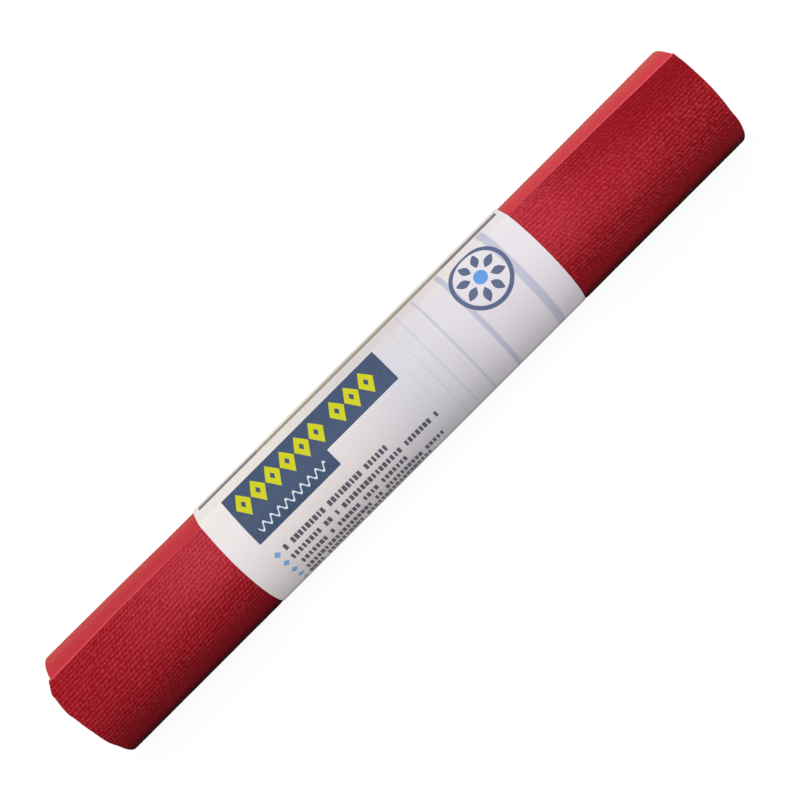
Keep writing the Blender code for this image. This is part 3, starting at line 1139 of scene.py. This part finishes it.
def rosette_shares(tree, along, round_):
    """A ring with eight leaves in it, and the round eye in their middle."""
    x, y = (minus(tree, place, middle) for place, middle in zip((along, round_), ROSETTE))
    reach = calc(tree, "SQRT", plus(tree, times(tree, x, x), times(tree, y, y)))
    angle = plus(tree, calc(tree, "ARCTAN2", y, x), FULL_TURN)
    ring = between(tree, reach, *ROSETTE_RING, PRINT_SOFT)
    first, last, half_width = ROSETTE_LEAF
    spacing = FULL_TURN / ROSETTE_LEAVES
    off_axis = minus(tree, calc(tree, "MODULO", angle, spacing), spacing / 2)
    along_leaf = over(tree, minus(tree, reach, first), last - first)
    swell = times(tree, calc(tree, "SINE", times(tree, along_leaf, math.pi)), half_width)
    leaf = within(tree, times(tree, off_axis, reach), swell)
    leaf = both(tree, leaf, between(tree, reach, first, last, PRINT_SOFT))
    return either(tree, ring, leaf), up_to(tree, reach, ROSETTE_EYE)


def paper_tints_and_light(tree, along, round_):
    # Painted light and shade on the paper: darker in the middle, lighter to either side, lighter higher up
    colour = stained(tree, along, PAPER_LIT_TINTS)
    colour = tinted(tree, ramp(tree, round_, *TOP_FROM), colour, stained(tree, along, TOP_LIT_TINTS))
    return tinted(tree, ramp(tree, round_, *BACK_FROM), colour, PLAIN_BACK)


def printed_on(tree, colour, along, round_):
    """The print over the paper's colour: what comes later covers what came before."""
    for middle, width, strength in STRIPES:
        stripe = between(tree, along, middle - width / 2, middle + width / 2, STRIPE_SOFT_SHARE * width)
        below_rule = ramp(tree, round_, *STRIPES_END, strength, 0.0)
        colour = tinted(tree, both(tree, stripe, below_rule), colour, PALE_STRIPE)
    rule_tone = tinted(tree, between(tree, along, *RULE_TAN), DUN, TAN)
    tilted = plus(tree, round_, times(tree, along, RULE_TILT))
    panel = either(tree, box_share(tree, along, round_, PANEL), box_share(tree, along, round_, PANEL_FOOT))
    leaves, eye = rosette_shares(tree, along, round_)
    for share, ink in (
        (box_share(tree, along, tilted, RULE), rule_tone),
        (panel, SLATE),
        (lozenge_share(tree, along, round_), YELLOW),
        (wave_share(tree, along, round_), PALE_LINE),
        (mark_share(tree, along, round_), INK),
        (bullet_share(tree, along, round_), PALE_SKY),
        (leaves, SOFT_SLATE),
        (eye, SKY),
    ):
        colour = tinted(tree, share, colour, ink)
    return colour


def printed_paper():
    """Smooth coated paper with the print on it, and painted shade low down in front."""
    material, tree, shader = new_finish("printed_paper", *COAT_GLOSS)
    along, round_ = (times(tree, place, IN_MM) for place in on_sheet(tree, "printed_face"))
    spot = on_object(tree)
    _, backward, height = apart(tree, spot)
    fibres = cloud(tree, spot, *COAT_FIBRES)
    ripples = cloud(tree, spot, *COAT_RIPPLES)
    colour = printed_on(tree, paper_tints_and_light(tree, along, round_), along, round_)
    colour = tinted(tree, ramp(tree, fibres, *FIBRE_SHARE), colour, FIBRE_GREY)
    # Painted shade, low down and in front
    shaded = both(tree, ramp(tree, height, *SHADE_FADES), ramp(tree, backward, *SHADE_IN_FRONT))
    feed(tree, shader.inputs["Base Color"], tinted(tree, shaded, colour, SHADE))
    feed(tree, shader.inputs["Roughness"], ramp(tree, fibres, *COAT_ROUGHNESS))
    relief = plus(tree, times(tree, fibres, FIBRE_RELIEF), times(tree, ripples, RIPPLE_RELIEF))
    bumped(tree, shader, relief, *COAT_RELIEF)
    return material


# The stage


def unseen_mix(tree, seen, unseen):
    """One shader where the camera or a reflection looks, and another for the light that it sends on."""
    path = tree.nodes.new("ShaderNodeLightPath")
    rays = (path.outputs[f"Is {kind} Ray"] for kind in ("Camera", "Glossy", "Transmission"))
    step = tree.nodes.new("ShaderNodeMixShader")
    tree.links.new(either(tree, *rays), step.inputs[0])
    tree.links.new(unseen, step.inputs[1])
    tree.links.new(seen, step.inputs[2])
    return step.outputs[0]


def grey_shader(tree, kind, grey, strength=None):
    step = tree.nodes.new(kind)
    step.inputs["Color"].default_value = (grey, grey, grey, 1)
    if strength is not None:
        step.inputs["Strength"].default_value = strength
    return step.outputs[0]


def lay_floor():
    """A floor that looks white but for its shadow, and that sends back less light than it shows."""
    grid = bmesh.new()
    bmesh.ops.create_grid(grid, x_segments=1, y_segments=1, size=FLOOR_HALF)
    floor = finished_piece("floor", grid)
    material = bpy.data.materials.new("pale_floor")
    material.use_nodes = True
    tree = material.node_tree
    tree.nodes.remove(tree.nodes["Principled BSDF"])
    lit = tree.nodes.new("ShaderNodeAddShader")
    tree.links.new(grey_shader(tree, "ShaderNodeBsdfDiffuse", FLOOR_SHADOW), lit.inputs[0])
    tree.links.new(grey_shader(tree, "ShaderNodeEmission", 1, FLOOR_GLOW), lit.inputs[1])
    dull = grey_shader(tree, "ShaderNodeBsdfDiffuse", FLOOR_BOUNCE)
    out = tree.nodes["Material Output"]
    tree.links.new(unseen_mix(tree, lit.outputs[0], dull), out.inputs["Surface"])
    floor.data.materials.append(material)


def light_sky():
    """A room that looks white and gives a soft, even light."""
    world = bpy.data.worlds.new("white_room")
    world.use_nodes = True
    bpy.context.scene.world = world
    tree = world.node_tree
    tree.nodes.remove(tree.nodes["Background"])
    seen = grey_shader(tree, "ShaderNodeBackground", 1, 1.0)
    lighting = grey_shader(tree, "ShaderNodeBackground", 1, ROOM_LIGHT)
    out = tree.nodes["World Output"]
    tree.links.new(unseen_mix(tree, seen, lighting), out.inputs["Surface"])


def light_from_above():
    """One broad soft light, above and in front, that is equally strong all over the floor."""
    lamp = bpy.data.lights.new("soft_light", "SUN")
    lamp.energy = LIGHT_STRENGTH
    lamp.angle = LIGHT_SPREAD
    holder = bpy.data.objects.new("soft_light", lamp)
    bpy.context.scene.collection.objects.link(holder)
    holder.rotation_euler = Vector(LIGHT_FROM).to_track_quat("Z", "Y").to_euler()


def set_camera():
    lens = bpy.data.cameras.new("camera")
    lens.sensor_width = SENSOR
    lens.lens = FOCAL_PIXELS / PICTURE * SENSOR
    lens.shift_x = -CENTRE_OFF[0] / PICTURE
    lens.shift_y = -CENTRE_OFF[1] / PICTURE
    lens.clip_start, lens.clip_end = VIEW_CLIP
    camera = bpy.data.objects.new("camera", lens)
    bpy.context.scene.collection.objects.link(camera)
    back = Vector((0, -math.cos(VIEW_HEIGHT), math.sin(VIEW_HEIGHT)))
    right = Vector((1, 0, 0))
    upright = Matrix((right, back.cross(right), back)).transposed().to_4x4()
    place = ROLL_AXIS + Vector((CAMERA_ALONG, 0, 0)) + back * CAMERA_DISTANCE
    camera.matrix_world = Matrix.Translation(place) @ upright @ Matrix.Rotation(VIEW_ROLL, 4, "Z")
    bpy.context.scene.camera = camera


set_camera()

foam_skin = embossed_foam()
foam_cut = cut_foam()
outer_foam = roll_up_foam(
    "outer_foam", NET_TO + FOAM_OVER_NET, MAT_THICKNESS + CROWDED / 2, foam_skin, foam_cut, grained=True
)
inner_foam = roll_up_foam("inner_foam", -CROWDED, NET_FROM - FOAM_OVER_NET, foam_skin, foam_cut)
woven_net = roll_up_net("woven_net", net_yarn())
for piece, node, slot in (
    (outer_foam, "outer_foam_layer", "outer_foam"),
    (inner_foam, "inner_foam_layer", "inner_foam"),
    (woven_net, "reinforcing_scrim", "woven_net"),
):
    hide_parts(node)
    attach(piece, "mat_roll")

glue_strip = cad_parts["sleeve_glue_strip"]
glue_strip.data.materials.clear()
glue_strip.data.materials.append(dried_glue())

printed_sleeve = wrap_sleeve(printed_paper(), bare_paper())
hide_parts("paper_sleeve")
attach(printed_sleeve, "sleeve")

lay_floor()
light_sky()
light_from_above()
bpy.context.scene.view_settings.view_transform = "Standard"
